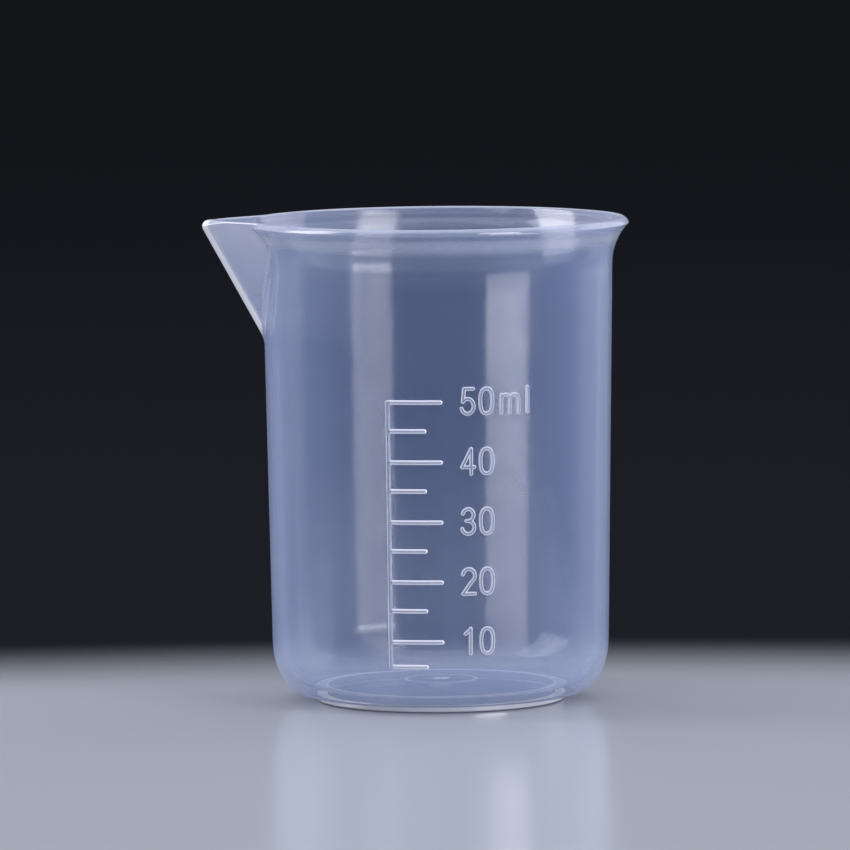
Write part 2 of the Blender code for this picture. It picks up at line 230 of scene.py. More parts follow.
# %% Outline outside
def outer_section(mouth):
    """From the mouth's edge over the lip, down the outside and in to the middle of the underside: the
    same kinds of curve as inside, then a square ring, a dome, and a round pad with a stub."""
    land = (mouth[0] + LIP_LAND, HEIGHT)
    corner = (LIP_RADIUS, LIP_CORNER)
    foot = wall_radius(FLARE_FOOT)
    centre = (foot + FLARE_RADIUS, FLARE_FOOT)
    flare = arc(centre, (FLARE_RADIUS, FLARE_RADIUS), math.pi - FLARE_ANGLE, math.pi - DRAFT, 26)
    land_bend, corner_bend = bend(mouth, land, corner, 0.07), bend(land, corner, flare[1], 0.16, 6)
    lip = [land_bend, bow(land_bend[-1], corner_bend[0], LIP_BOW), corner_bend]
    spout_foot = (wall_radius(SPOUT_FOOT), SPOUT_FOOT)
    centre = (HEEL_TOP_RADIUS - HEEL_REACH, HEEL_TOP)
    heel_lean = -math.atan(math.tan(DRAFT) * HEEL_RISE / HEEL_REACH)
    heel = arc(centre, (HEEL_REACH, HEEL_RISE), heel_lean, -math.pi / 2, 20)
    wall = np.concatenate([line(flare[-1], spout_foot, 24)[1:], line(spout_foot, heel[0], 6)[1:]])
    ring = [(FOOT_RADIUS, FOOT_HEIGHT), (FOOT_RADIUS, 0), (INNER_FOOT, 0), (INNER_FOOT, FOOT_HEIGHT)]
    radius = np.linspace(INNER_FOOT, PAD_RADIUS, 12)
    under = np.stack([radius, crown(radius, INNER_FOOT, FOOT_HEIGHT)], axis=1)
    pad = crown(PAD_RADIUS, INNER_FOOT, FOOT_HEIGHT) + PAD_DEPTH
    stub = pad - STUB_HEIGHT
    foot_ring = [
        bend(heel[-1], ring[0], ring[1], 0.2),
        bend(ring[0], ring[1], ring[2], 0.25),
        bend(ring[1], ring[2], ring[3], 0.25),
        bend(ring[2], ring[3], under[1], 0.2),
    ]
    gate = [
        bend(under[-2], under[-1], (PAD_RADIUS, pad), 0.07),
        bend(under[-1], (PAD_RADIUS, pad), (STUB_RADIUS, pad), 0.07),
        bend((PAD_RADIUS, pad), (STUB_RADIUS, pad), (STUB_RADIUS, stub), 0.1),
        bend((STUB_RADIUS, pad), (STUB_RADIUS, stub), (0, stub), 0.1),
    ]
    body = [flare[2:], wall, heel[1:]]
    return np.concatenate(lip + body + foot_ring + [under[1:-1]] + gate + [[(0, stub)]])


inside = inner_section()
outside = outer_section(inside[-1])
print("section points:", len(inside), "inside and", len(outside), "outside")

# %% [markdown]
# ## The spout
# The beaker pours over its spout. Seen from above it is a V that stands out of the round lip. Its keel
# slopes, so the V gets smaller further down until it runs into the wall. For each height and each
# direction two radii are known: the turned wall's and the V's. The larger one is the surface. A Boolean
# would give the same form with a hard crease, and the real one has a soft hollow there, so a smooth
# maximum is used.


# %% Smooth maximum and the V
def smooth_max(a, b, width):
    """The larger of two, with a parabola over the stretch where they differ by less than width."""
    near = np.maximum(width - np.abs(a - b), 0) / width
    return np.maximum(a, b) + near**2 * width / 4


def keel_reach(z):
    """Reach of the keel's straight slope from the axis. The slope is a tangent to the tip's round."""
    below = HEIGHT - TIP_RADIUS - z
    return TIP_REACH - TIP_RADIUS + TIP_RADIUS / math.cos(KEEL_SLOPE) - below * math.tan(KEEL_SLOPE)


def rounded_keel_reach(z, radius):
    """The same with the tip's round: above the tangent point the keel follows a circle."""
    over = np.clip((z - (HEIGHT - radius)) / radius, -math.sin(KEEL_SLOPE), 1)
    tip = keel_reach(HEIGHT) - radius * (1 / math.cos(KEEL_SLOPE) + math.tan(KEEL_SLOPE))
    on_circle = tip + radius * np.sqrt(1 - over**2)
    return np.where(over > -math.sin(KEEL_SLOPE), on_circle, keel_reach(z))


def v_radius(angle, reach, sharpness):
    """Radius of the V in a direction: the flank is a line, so its radius is its distance from the axis
    over the cosine of the angle to its normal. A small constant rounds the keel."""
    slope = math.tan(SPOUT_HALF_ANGLE)
    sine = np.sqrt(np.sin(angle) ** 2 + (sharpness / reach) ** 2)
    radius = reach * slope / (sine + np.cos(angle) * slope)
    beyond = np.abs(angle) > math.pi / 2 - SPOUT_HALF_ANGLE
    return np.where(beyond, reach * math.sin(SPOUT_HALF_ANGLE), radius)


# %% Directions round the beaker
# The directions crowd towards the spout: a share of the way round becomes a share plus its cube, so a
# step there is a quarter of the mean one. The keel's offset is how far a sharp V would stand out beyond
# its round keel, and keel_round is the constant that gives it that round.
COLUMNS = 400
share_round = (np.arange(COLUMNS) + 0.5) / COLUMNS * 2 - 1
from_spout = math.pi * (0.25 * share_round + 0.75 * share_round**3)
keel_offset = KEEL_RADIUS * (1 / math.sin(SPOUT_HALF_ANGLE) - 1)
keel_round = keel_offset * math.tan(SPOUT_HALF_ANGLE)
print(f"columns are {math.degrees(np.diff(from_spout).min()):.2f} degrees apart at the spout")


# %% Radii of the vessel
def vessel_rows():
    """Radii on the grid: rows run along the section and columns run round. Each is the smooth maximum of
    the turned radius and the V's. The V's inside is the same V moved in by its wall, and by less at the
    tip, which is thin."""
    angle = from_spout[None, :]
    radius_out, z_out = outside[:, :1], outside[:, 1:]
    radius_in, z_in = inside[:, :1], inside[:, 1:]
    near_tip = np.exp(-((angle / math.radians(5)) ** 2))
    tip = TIP_EDGE_RADIUS + (TIP_RADIUS - TIP_EDGE_RADIUS) * near_tip
    reach = rounded_keel_reach(z_out, tip)
    hollow = rounded_keel_reach(z_in, tip) - TIP_WALL / math.sin(SPOUT_HALF_ANGLE)
    hollow = np.minimum(hollow, keel_reach(z_in) - SPOUT_WALL / math.sin(SPOUT_HALF_ANGLE))
    outer = smooth_max(radius_out, v_radius(angle, reach + keel_offset, keel_round), SPOUT_HOLLOW)
    inner = smooth_max(radius_in, v_radius(angle, hollow + keel_offset, keel_round), SPOUT_HOLLOW)
    return np.where(z_in < HEEL_TOP, radius_in, inner), np.where(z_out < HEEL_TOP, radius_out, outer)


inner, outer = vessel_rows()
print("thinnest at the top:", round(float((outer[0] - inner[-1]).min()), 3), "mm")

# %% [markdown]
# ## Where the plastic is thick
# The real plastic looks whiter where much of it lies behind the surface: at the lip's edges, over the
# foot ring, at the gate and along the keel. Light could be traced through the plastic, but in walls this
# thin that comes out grainy and dull. So each point of the skin keeps a number for its plastic: 0 is the
# plain wall, 1 is a rib seen along its length, and less than 0 is clearer than the wall.
# The same number also carries painted light: a painted highlight in the spout's hollow, painted shade that
# makes the lower wall clearer, and a painted highlight on the marks' flanks.


# %% Helpers for thick places
def bell(value, middle, reach):
    """A bell curve: 1 in the middle, and nearly 0 at twice its reach from there."""
    return np.exp(-(((value - middle) / reach) ** 2))


def rise(value, low, high):
    """A straight rise from 0 at low to 1 at high. It's a fall where low is the larger one."""
    return np.clip((value - low) / (high - low), 0, 1)


# %% Thick places along the section
def thick_on_section(section, on_outside):
    """Corners have a bell curve round them: place, reach and amount. Stretches have one amount between
    two heights or radii. Where some of them meet, the largest counts."""
    across, height = section.T
    on_floor = ~on_outside & (height < 2.7)
    corners = [
        (inside[-1], 0.16, 0.5),
        ((LIP_RADIUS, LIP_CORNER), 0.2, 0.3),
        ((FOOT_RADIUS, 0.05), 0.3, 1.0),
        ((INNER_FOOT, 0.05), 0.3, 0.9),
        ((FOOT_RADIUS, FOOT_HEIGHT), 0.17, 0.8),
        ((INNER_FOOT, RING_TOP), 0.25, 1.0),
        ((FOOT_RADIUS, RING_TOP), 0.25, 1.0),
    ]
    stretches = [
        (0.08, on_outside & (height > LIP_CORNER)),
        (0.95, (height < 0.75) & (across > INNER_FOOT - 0.1)),
        (0.5, on_floor & (across > INNER_FOOT) & (across < FOOT_RADIUS)),
        (1.0, on_floor & (across < 1.1)),
        (1.0, (height < 2.0) & (across < STUB_RADIUS + 0.05)),
        (0.7 * bell(across, 4.45, 0.22), on_floor),
    ]
    thick = np.zeros(len(section))
    for corner, reach, amount in corners:
        distance = np.linalg.norm(section - np.array(corner), axis=1)
        thick = np.maximum(thick, amount * bell(distance, 0, reach))
    for amount, where in stretches:
        thick = np.maximum(thick, amount * where)
    return thick


# %% Slow changes along the section
def shaded_section(section, on_outside):
    """The thick places, and slower changes: a flare that whitens upwards with a clearer groove under the
    lip's corner, a heel that whitens downwards and most at its inside, a clear floor inside the foot
    ring, and a plain wall that is a little clearer further down, which is painted shade against the
    light that the pale table throws up on it."""
    across, height = section.T
    thick = thick_on_section(section, on_outside)
    flare = rise(height, 57.0, 58.4)
    flare = np.where(on_outside, 0.32, 0.17) * flare * flare * (3 - 2 * flare)
    groove = bell(height, LIP_CORNER - 0.5, 0.3) * on_outside
    thick = np.maximum(thick, flare * (1 - groove)) - 0.1 * groove
    thick = np.maximum(thick, 0.16 * rise(height, 5.5, 0.5) * (across > FOOT_RADIUS))
    thick = np.where((thick < 0.02) & (across < INNER_FOOT) & (height < 3.5), -0.35, thick)
    # Painted shade: the plain wall is made clearer, so less lit, further down.
    thick = thick - 0.1 * rise(height, 54, 10) * rise(thick, 0.5, 0)
    return thick + 0.12 * bell(height, 3.8, 1.8) * (~on_outside & (across > FOOT_RADIUS + 0.5))


# %% Thick places of the spout
def thick_on_spout(radius, z, angle, wall):
    """The keel is a bar of plastic, the V's flanks whiten upwards, and the hollow between flank and wall
    has a thin pale line, a painted highlight. All of it lies where the V stands out beyond the turned wall."""
    beyond_wall = radius - wall
    from_keel = np.abs(radius * np.sin(angle))
    keel = rise(from_keel, 1.3, 0.8) * (beyond_wall > 0.3)
    # Painted highlight: a thin pale line in the hollow, where its round would catch the light.
    hollow = 0.5 * bell(beyond_wall, 0.22, 0.16) * rise(z, 46, 48)
    flanks = np.maximum(0.2 + 0.023 * (z - 49.7), 0.12) * rise(beyond_wall, 0, 0.3)
    near = (z > HEEL_TOP) & (np.abs(angle) < SPOUT_SIDE_ANGLE)
    return near * np.maximum(np.maximum(keel, hollow), flanks)


# %% [markdown]
# ## The vessel as one closed skin
# The real beaker is one piece of plastic with an inside and an outside. A single sheet with a Solidify
# modifier could stand for it, but its wall isn't even: it thins at the lip and thickens at the foot. So
# the two sets of rows are stacked to one grid. It starts at the middle of the floor inside, goes over
# the lip and ends at the middle of the underside.


# %% Vessel
def vessel_mesh():
    """A point's place is its radius turned to its direction. Each end is a single point, joined to the
    row beside it by triangles, which closes the pole."""
    radius = np.concatenate([inner[1:], outer[:-1]])
    section = np.concatenate([inside[1:], outside[:-1]])
    z, angle = section[:, 1:] + 0 * radius, from_spout[None, :] + 0 * radius
    points = np.stack([AXIS_X - radius * np.cos(angle), -radius * np.sin(angle), z], axis=-1).reshape(-1, 3)
    poles = [[AXIS_X, 0, inside[0, 1]], [AXIS_X, 0, outside[-1, 1]]]
    rows, first, last = len(radius), len(points), len(points) + 1
    column = np.arange(COLUMNS)
    beside = (column + 1) % COLUMNS
    end_row = (rows - 1) * COLUMNS
    start = np.stack([np.full(COLUMNS, first), column, beside], axis=1)
    end = np.stack([end_row + column, np.full(COLUMNS, last), end_row + beside], axis=1)
    faces = grid_faces(rows, COLUMNS).tolist() + start.tolist() + end.tolist()
    on_outside = np.arange(rows) > len(inside) - 2
    wall = shaded_section(section, on_outside)[:, None]
    spout = on_outside[:, None] * thick_on_spout(radius, z, angle, section[:, :1])
    extra = np.append(np.maximum(wall, spout), [0, 0])
    return make_mesh("vessel_skin", np.concatenate([points, poles]), faces, {"extra": extra})


def signed_volume(obj):
    """Volume inside a closed mesh in cubic centimetres: positive when its faces point outwards."""
    shape = bmesh.new()
    shape.from_mesh(obj.data)
    volume = shape.calc_volume(signed=True)
    shape.free()
    return volume * 1e6


vessel = vessel_mesh()
print("vessel:", len(vessel.data.polygons), "faces,", round(signed_volume(vessel), 3), "cubic centimetres")

# %% [markdown]
# ## Marks
# The graduations and figures of the real beaker stand about 0.3 mm off the front, with round tops, as a
# mould cut with a round tool leaves them. A text object with a Bevel could make the figures, but no
# font has these letterforms, and its corners would be sharp. So each mark is drawn flat as strokes. The
# relief's height follows from the distance to the nearest stroke, which keeps the joints between strokes
# smooth, and the flat relief is bent round the wall at the end.

# %% Sizes of the marks in millimetres
SCALE_LEFT, SCALE_FOOT = -6.68, 6.0
BAR_WIDTH, TICK_WIDTH = 0.56, 0.58
LONG_TICK, SHORT_TICK = 7.12, 5.12
FIVE_ML_HEIGHT, TEN_ML_HEIGHT, TEN_ML_STEP, HALF_MARK_LIFT = 6.33, 9.42, 7.47, 0.15
FIGURE_LEFT, FIGURE_HEIGHT, FIGURE_WIDTH, FIGURE_PITCH = 2.53, 3.6, 2.05, 2.33
FIGURE_STROKE, FIGURE_LIFT = 0.5, 0.1
UNIT_GAP, UNIT_HEIGHT, UNIT_WIDTH, UNIT_SPACE = 0.65, 2.75, 2.8, 0.75
RELIEF = 0.3
FRONT_RADIUS = wall_radius(HEIGHT / 2)


def mark_height(volume):
    """Height of a mark's middle. The tens are evenly stepped, and the fives sit just over half way."""
    if volume == 5:
        return FIVE_ML_HEIGHT
    height = TEN_ML_HEIGHT + (volume - 10) / 10 * TEN_ML_STEP
    return height if volume % 10 == 0 else height + HALF_MARK_LIFT


print("marks at", [round(mark_height(v), 2) for v in range(5, 51, 5)], "mm")

# %% [markdown]
# ### Letterforms
# The real figures are narrow, plain and evenly thick. They could be traced, but a few arcs and lines
# give the same forms and stay editable. Each figure is drawn in a box of a width and a height. A bowl is
# an arc of an ellipse, the rest is straight, and the factors are fractions of the box.


# %% Strokes of the figures
def zero(w, h):
    """An upright oval, a superellipse whose flanks are straighter than an ellipse's."""
    angle = np.linspace(0, 2 * math.pi, 33)
    across = np.sign(np.cos(angle)) * np.abs(np.cos(angle)) ** 0.8
    up = np.sign(np.sin(angle)) * np.abs(np.sin(angle)) ** 0.8
    return [np.stack([w / 2 * (1 + across), h / 2 * (1 + up)], axis=1)]


def one(w, h):
    """A stem, and a flag that meets it near the top."""
    return [[(w * 0.62, 0), (w * 0.62, h)], [(w * 0.2, h * 0.8), (w * 0.62, h * 0.97)]]


def two(w, h):
    """An elliptic bowl, a slanting line down to the left, and a foot."""
    bowl = arc((w / 2, h * 0.72), (w / 2, h * 0.28), math.pi * 0.93, -math.pi * 0.12, 18)
    return [np.concatenate([bowl, [(w * 0.6, h * 0.4), (w * 0.02, 0), (w, 0)]])]


def three(w, h):
    """Two elliptic bowls, one over the other, that meet a little above half height."""
    turn = math.pi * 0.93
    upper = arc((w * 0.47, h * 0.76), (w * 0.44, h * 0.24), turn, -math.pi / 2, 18)
    lower = arc((w * 0.47, h * 0.26), (w * 0.5, h * 0.26), math.pi / 2, -turn, 18)
    return [np.concatenate([upper, [(w * 0.33, h * 0.52)]]), lower]


def four(w, h):
    """A slanting line and a bar, crossed by a stem."""
    return [[(w * 0.74, h), (0, h * 0.27), (w, h * 0.27)], [(w * 0.74, 0), (w * 0.74, h)]]


def five(w, h):
    """A flag, a short stem that leans back, and an elliptic bowl."""
    bowl = arc((w * 0.47, h * 0.3), (w * 0.5, h * 0.3), math.pi * 0.72, -math.pi * 0.9, 18)
    return [np.concatenate([[(w * 0.92, h), (w * 0.2, h), (w * 0.1, h * 0.48)], bowl[1:]])]


def letter_m(w, h):
    """A stem and two arches of equal span."""
    half = w / 4
    arches = [arc((middle, h - half), (half, half), math.pi, 0, 12) for middle in (half, 3 * half)]
    legs = [np.concatenate([arch, [(arch[-1][0], 0)]]) for arch in arches]
    return [[(0, 0), (0, h)]] + legs


def letter_l(w, h):
    """A stem."""
    return [[(0, 0), (0, h)]]


# %% [markdown]
# ### Relief from distance
# A mark's edge in the photograph is a smooth line, so steps of a grid mustn't show in it. A Remesh
# modifier would blur the corners too. Instead, the distance from each grid point to the nearest stroke
# is found as for any line segment: the point is projected on it, and the projection is held between its
# ends. Grid points just outside a stroke are then drawn in onto its edge.


# %% Distance to the strokes
def nearest_on_strokes(spots, strokes):
    """Distance in half widths from each spot to the nearest stroke, and the nearest point on it."""
    best = np.full(len(spots), np.inf)
    foot = np.zeros_like(spots)
    half = np.zeros(len(spots))
    for path, width in strokes:
        path = np.asarray(path, dtype=float)
        for start, end in zip(path, path[1:]):
            along = end - start
            share = np.clip((spots - start) @ along / max(along @ along, 1e-12), 0, 1)
            near = start + share[:, None] * along
            distance = np.linalg.norm(spots - near, axis=1) / (width / 2)
            closer = distance < best
            best = np.where(closer, distance, best)
            foot = np.where(closer[:, None], near, foot)
            half = np.where(closer, width / 2, half)
    return best, foot, half


# %% Flat grid of a mark
GRID_MARGIN = 0.4


def relief_grid(strokes, step):
    """A grid cut to the strokes' outline: its spots, the nearest places on the strokes, the half widths
    there, the distances in half widths, and the quads."""
    every = np.concatenate([np.asarray(path, dtype=float) for path, _ in strokes])
    low, high = every.min(axis=0) - GRID_MARGIN, every.max(axis=0) + GRID_MARGIN
    u, v = np.arange(low[0], high[0], step), np.arange(low[1], high[1], step)
    spots = np.stack(np.meshgrid(u, v, indexing="ij"), axis=-1).reshape(-1, 2)
    far, foot, half = nearest_on_strokes(spots, strokes)
    index = np.arange(len(spots)).reshape(len(u), len(v))
    corners = [index[:-1, :-1], index[1:, :-1], index[1:, 1:], index[:-1, 1:]]
    quads = np.stack(corners, axis=-1).reshape(-1, 4)
    quads = quads[(far[quads] < 1).any(axis=1)]
    away = spots - foot
    length = np.maximum(np.linalg.norm(away, axis=1), 1e-9)
    on_edge = foot + away / length[:, None] * half[:, None]
    spots = np.where((far > 1)[:, None], on_edge, spots)
    used, quads = np.unique(quads, return_inverse=True)
    return spots[used], foot[used], half[used], np.minimum(far, 1)[used], quads.reshape(-1, 4)


def closed_faces(quads, count):
    """The top's quads, the same turned over for the underside, and a skirt between their rims. A rim
    edge is one that no neighbour runs along the other way."""
    edges = np.concatenate([quads[:, [i, (i + 1) % 4]] for i in range(4)])
    there = edges[:, 0] * count + edges[:, 1]
    back = edges[:, 1] * count + edges[:, 0]
    rim = edges[~np.isin(there, back)]
    skirt = np.stack([rim[:, 1], rim[:, 0], rim[:, 0] + count, rim[:, 1] + count], axis=1)
    return np.concatenate([quads, quads[:, ::-1] + count, skirt])


# %% Raised mark
OVER_WALL, UNDER_WALL = 0.012, 0.02


def round_the_wall(spots, lift):
    """Places on the beaker's front: the width becomes an angle, the height stays, and the radius is the
    wall's, or the heel's quarter ellipse below it, plus the lift."""
    around, height = spots[:, 0] / FRONT_RADIUS, spots[:, 1]
    drop = np.clip((HEEL_TOP - height) / HEEL_RISE, 0, 1)
    on_heel = HEEL_TOP_RADIUS - HEEL_REACH * (1 - np.sqrt(1 - drop**2))
    radius = np.where(height >= HEEL_TOP, wall_radius(height), on_heel) + lift
    return np.stack([AXIS_X + radius * np.sin(around), -radius * np.cos(around), height], axis=1)


def white_edges(spots, foot, half, far, fill, bar_edge):
    """How white the plastic is: a mark's flanks get a painted highlight, the lower ones most. The scale's
    upright bar lies left of bar_edge; its painted highlight is on its left flank, fading towards its right
    flank, and it is clear in its middle."""
    right, below = (spots - foot)[:, 0] / half, (foot - spots)[:, 1] / half
    flank = rise(far, 0.2, 0.6)
    bar = flank * (0.6 - 0.4 * right) + 0.05
    return np.where(spots[:, 0] < bar_edge, bar, flank * (0.7 + 0.3 * below) + fill)


def relief_mesh(name, strokes, step, fill, bar_edge=-np.inf):
    """Full height in the middle of a stroke, less by the fifth power of the distance from there, and
    nothing at the edge. The underside lies just inside the wall."""
    spots, foot, half, far, quads = relief_grid(strokes, step)
    upper = round_the_wall(spots, RELIEF * (1 - far**5) + OVER_WALL)
    under = round_the_wall(spots, -UNDER_WALL)
    # Painted highlights on the flanks, kept in the extra number for the material.
    white = white_edges(spots, foot, half, far, fill, bar_edge)
    faces = closed_faces(quads, len(spots)).tolist()
    return make_mesh(name, np.concatenate([upper, under]), faces, {"extra": np.append(white, 0 * white)})


# %% [markdown]
# ### Scale
# The scale is one upright bar with ten ticks, longer ones at the tens. Boxes could be joined for it, but
# the real bar and ticks flow into each other. As strokes of one relief they do that by themselves. The
# two ends of every stroke are round.

# %% Scale
SCALE_STEP, SCALE_FILL = 0.07, 0.4


def scale_strokes():
    """The upright bar and its ten ticks."""
    bar = SCALE_LEFT + BAR_WIDTH / 2
    strokes = [([(bar, SCALE_FOOT + BAR_WIDTH / 2), (bar, mark_height(50))], BAR_WIDTH)]
    for volume in range(5, 51, 5):
        length = LONG_TICK if volume % 10 == 0 else SHORT_TICK
        height = mark_height(volume)
        end = SCALE_LEFT + length - TICK_WIDTH / 2
        strokes.append(([(bar, height), (end, height)], TICK_WIDTH))
    return strokes


bar_edge = SCALE_LEFT + BAR_WIDTH + 0.03
scale = relief_mesh("raised_scale", scale_strokes(), SCALE_STEP, SCALE_FILL, bar_edge)
print("scale:", len(scale.data.polygons), "faces", round(signed_volume(scale) * 1000, 2), "cubic millimetres")

# %% [markdown]
# ### Figures
# The volumes 10 to 50 stand right of the scale, and the last one has the unit behind it. They could be
# one mesh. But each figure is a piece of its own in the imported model, so that it can be swapped or left
# out, and it stays so here.

# %% Figures
FIGURE_STEP, FIGURE_FILL = 0.05, 0.22


def figure(name, draw, corner, size):
    """A figure inside its box: the strokes' middles lie half a stroke inside the outline."""
    inset = FIGURE_STROKE / 2
    paths = draw(size[0] - FIGURE_STROKE, size[1] - FIGURE_STROKE)
    strokes = [(np.asarray(path, dtype=float) + np.array(corner) + inset, FIGURE_STROKE) for path in paths]
    return relief_mesh(name, strokes, FIGURE_STEP, FIGURE_FILL)


DIGITS = {"0": zero, "1": one, "2": two, "3": three, "4": four, "5": five}
figures = {}
for volume in range(10, 51, 10):
    bottom = mark_height(volume) + FIGURE_LIFT - FIGURE_HEIGHT / 2
    for number, digit in enumerate(str(volume)):
        node = f"digit_{digit}_of_{volume}"
        corner = (FIGURE_LEFT + number * FIGURE_PITCH, bottom)
        figures[node] = figure("raised_" + node, DIGITS[digit], corner, (FIGURE_WIDTH, FIGURE_HEIGHT))
unit_left = FIGURE_LEFT + FIGURE_PITCH + FIGURE_WIDTH + UNIT_GAP
figures["letter_m"] = figure("raised_letter_m", letter_m, (unit_left, bottom), (UNIT_WIDTH, UNIT_HEIGHT))
corner = (unit_left + UNIT_WIDTH + UNIT_SPACE, bottom)
figures["letter_l"] = figure("raised_letter_l", letter_l, corner, (FIGURE_STROKE, FIGURE_HEIGHT))
print("figures:", len(figures), "with", sum(len(o.data.polygons) for o in figures.values()), "faces")

# %% [markdown]
# ## Helpers for node trees
# A material is a graph of small nodes, and some of them come again and again: one that maps a range to
# another, one that does arithmetic with two values, and one that mixes two colours. Each could be added
# by hand every time. A helper for each keeps the graphs short to read.

# %% Node helpers
MIX_FACTOR, MIX_FIRST, MIX_SECOND, MIX_RESULT = 0, 6, 7, 2


def span(tree, value, low, high, to_low, to_high):
    """A value between low and high becomes one between two others, held at both ends. An end is a number
    or another node's socket."""
    ranged = tree.nodes.new("ShaderNodeMapRange")
    ends = {"From Min": low, "From Max": high, "To Min": to_low, "To Max": to_high}
    for label, end in ends.items():
        if isinstance(end, bpy.types.NodeSocket):
            tree.links.new(end, ranged.inputs[label])
        else:
            ranged.inputs[label].default_value = end
    tree.links.new(value, ranged.inputs["Value"])
    return ranged.outputs["Result"]


def join(tree, operation, a, b, clamp=False):
    """Two values by one operation, such as ADD, MULTIPLY or MAXIMUM."""
    node = tree.nodes.new("ShaderNodeMath")
    node.operation = operation
    node.use_clamp = clamp
    tree.links.new(a, node.inputs[0])
    tree.links.new(b, node.inputs[1])
    return node.outputs["Value"]


def mix_colours(tree, share, first, second):
    """The first colour where share is 0, the second where it's 1."""
    mix = tree.nodes.new("ShaderNodeMix")
    mix.data_type = "RGBA"
    mix.inputs[MIX_FIRST].default_value = (*first, 1)
    mix.inputs[MIX_SECOND].default_value = (*second, 1)
    tree.links.new(share, mix.inputs[MIX_FACTOR])
    return mix.outputs[MIX_RESULT]


# %% [markdown]
# ## Surface of a moulding
# Seen close, the real surface isn't even: the mould's polish varies, the plastic flowed in upright
# streaks, the wall waves slowly, and handling leaves rare specks and hair scratches. Scanned images
# could show that, but procedural noise has no seams and no limit to its detail. The vessel and its marks
# come from one mould, so both use one node group, each with values of its own.

# %% Noises of the surface
POLISH, WAVES = (140, 3), (75, 2)
SOFT_CLOUD, FLOW_STREAKS, DRAW_LINES = (60, 4), (420, 2), (260, 2)
SPECK_CELLS, HAIRS, HAIR_PATCHES = 230, (330, 0), (95, 1)
UPRIGHT, HAIR_STRETCH, HAIR_TURN = (1, 1, 0.02), (1, 1, 0.06), (0.5, 0.3, 0.4)
MIDDLE_OF_NOISE = (0.3, 0.7)
CLOUD_MOST = 1.4


# %% Surface of the moulding
def moulded_surface():
    """On Object coordinates. Roughness is fine noise between two ends. Cloud is soft noise plus noise
    stretched along Z. Specks are the middles of a few Voronoi cells and the level lines of a stretched
    noise. Height is slow noise with faint streaks. Each noise has a scale and a detail."""
    group = bpy.data.node_groups.new("moulded_surface", "ShaderNodeTree")
    for label in ("Smoothest", "Roughest", "Cloud Haze", "Speck Haze"):
        group.interface.new_socket(label, in_out="INPUT", socket_type="NodeSocketFloat")
    for label in ("Roughness", "Cloud", "Specks", "Height"):
        group.interface.new_socket(label, in_out="OUTPUT", socket_type="NodeSocketFloat")
    nodes, links = group.nodes, group.links
    given = nodes.new("NodeGroupInput").outputs
    out = nodes.new("NodeGroupOutput")
    place = nodes.new("ShaderNodeTexCoord")

    def noise(scale, detail, stretch=None, turn=(0, 0, 0)):
        texture = nodes.new("ShaderNodeTexNoise")
        texture.inputs["Scale"].default_value = scale
        texture.inputs["Detail"].default_value = detail
        source = place.outputs["Object"]
        if stretch:
            turned = nodes.new("ShaderNodeMapping")
            turned.inputs["Scale"].default_value = stretch
            turned.inputs["Rotation"].default_value = turn
            links.new(source, turned.inputs["Vector"])
            source = turned.outputs["Vector"]
        links.new(source, texture.inputs["Vector"])
        return texture.outputs["Fac"]

    rough = span(group, noise(*POLISH), *MIDDLE_OF_NOISE, given["Smoothest"], given["Roughest"])
    soft = span(group, noise(*SOFT_CLOUD), *MIDDLE_OF_NOISE, 0, 0.5)
    streaks = span(group, noise(*FLOW_STREAKS, UPRIGHT), *MIDDLE_OF_NOISE, 0, 0.9)
    cloud = span(group, join(group, "ADD", soft, streaks), 0, CLOUD_MOST, 0, given["Cloud Haze"])
    cells = nodes.new("ShaderNodeTexVoronoi")
    cells.inputs["Scale"].default_value = SPECK_CELLS
    links.new(place.outputs["Object"], cells.inputs["Vector"])
    dot = span(group, cells.outputs["Distance"], 0.02, 0.045, 1, 0)
    chosen = nodes.new("ShaderNodeSeparateColor")
    links.new(cells.outputs["Color"], chosen.inputs["Color"])
    rare = span(group, chosen.outputs["Red"], 0.9, 0.92, 0, 1)
    hair = nodes.new("ShaderNodeMath")
    hair.operation = "COMPARE"
    hair.inputs[1].default_value = 0.5
    hair.inputs[2].default_value = 0.004
    links.new(noise(*HAIRS, HAIR_STRETCH, HAIR_TURN), hair.inputs[0])
    here_and_there = span(group, noise(*HAIR_PATCHES), 0.6, 0.7, 0, 0.5)
    scratch = join(group, "MULTIPLY", hair.outputs["Value"], here_and_there)
    worn = join(group, "MAXIMUM", join(group, "MULTIPLY", dot, rare), scratch)
    wave = span(group, noise(*WAVES), 0, 1, 0, 1)
    lines = span(group, noise(*DRAW_LINES, UPRIGHT), 0, 1, 0, 0.05)
    links.new(rough, out.inputs["Roughness"])
    links.new(cloud, out.inputs["Cloud"])
    links.new(span(group, worn, 0, 1, 0, given["Speck Haze"]), out.inputs["Specks"])
    links.new(join(group, "ADD", wave, lines), out.inputs["Height"])
    return group


surface = moulded_surface()
print("surface group:", len(surface.nodes), "nodes")

# %% [markdown]
# ## Plastic
# Polypropylene scatters a little light on its way through, so a thin wall looks like bluish mist over
# whatever stands behind it. Transmission with scattering inside is the physical way, but it needs many
# samples and dulls the highlights. So the mist is made with opacity. There is more of it where the wall
# is seen at a slant, near the outline, and where the kept number says the plastic is thick. The renderer
# scales gloss by opacity, so the index of refraction is set above polypropylene's 1.5 to bring the gloss
# back. The marks are rougher and whiter, as they are on the real beaker.
# The kept number also carries painted highlights, which add mist and whiteness, and painted shade, which
# takes mist away.

# %% Values of the plastic
CLOUD_HAZE, SPECK_HAZE = 0.042, 0.3
OUTLINE, OUTLINE_HAZE = (0.66, 0.76), 0.2
RIM, RIM_HAZE = (0.84, 1.0), 0.25
THICK_AND_PAINTED_HAZE, SLANT_WHITE = 0.8, 0.2
BUMP_STRENGTH, BUMP_DISTANCE = 0.22, 0.0003


